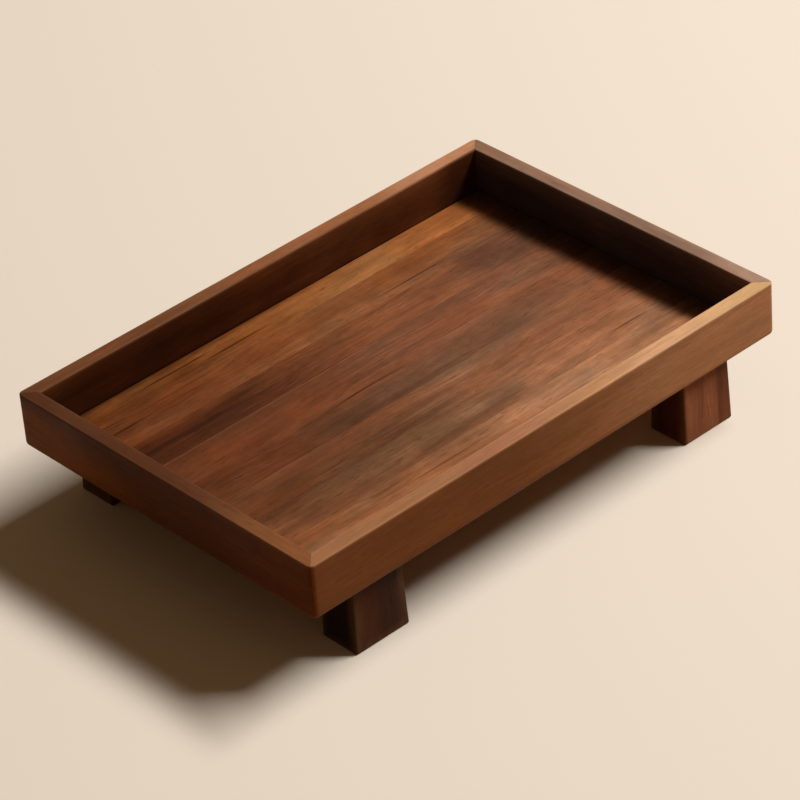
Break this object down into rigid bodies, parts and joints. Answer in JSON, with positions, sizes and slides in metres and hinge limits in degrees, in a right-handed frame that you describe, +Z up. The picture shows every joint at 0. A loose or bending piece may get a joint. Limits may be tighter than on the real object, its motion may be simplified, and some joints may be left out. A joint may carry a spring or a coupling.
{
  "type": "serving tray",
  "caption": "Rectangular wooden serving tray with a raised mitred rim, a floor of edge-glued staves and tapered block feet that leave finger room under the rim.",
  "frame": {"origin": "on the table, under the middle of the tray", "axes": "+X along the tray's length, +Y across it from the front rail to the back rail, +Z up"},
  "size_m": [0.3, 0.204, 0.067],
  "materials": {
    "rail_wood": "dark walnut-brown hardwood, rubbed oil, satin",
    "floor_wood": "walnut-brown hardwood staves of mixed tone, rubbed oil, satin",
    "foot_wood": "dark walnut-brown hardwood with upright grain, rubbed oil, satin",
    "joinery_wood": "plain pale hardwood, unfinished, hidden in the joints"
  },
  "bodies": {
    "root": {"rail_front": "rail_wood", "rail_back": "rail_wood", "rail_left": "rail_wood", "rail_right": "rail_wood", "corner_tongue_front_left": "joinery_wood", "corner_tongue_front_right": "joinery_wood", "corner_tongue_back_right": "joinery_wood", "corner_tongue_back_left": "joinery_wood", "floor_stave_1": "floor_wood", "floor_stave_2": "floor_wood", "floor_stave_3": "floor_wood", "floor_stave_4": "floor_wood", "floor_stave_5": "floor_wood", "floor_stave_6": "floor_wood", "floor_stave_7": "floor_wood", "floor_stave_8": "floor_wood", "floor_stave_9": "floor_wood", "foot_front_left": "foot_wood", "foot_front_right": "foot_wood", "foot_back_right": "foot_wood", "foot_back_left": "foot_wood", "dowel_front_left_outer": "joinery_wood", "dowel_front_left_inner": "joinery_wood", "dowel_front_right_outer": "joinery_wood", "dowel_front_right_inner": "joinery_wood", "dowel_back_right_outer": "joinery_wood", "dowel_back_right_inner": "joinery_wood", "dowel_back_left_outer": "joinery_wood", "dowel_back_left_inner": "joinery_wood"}
  },
  "joints": []
}
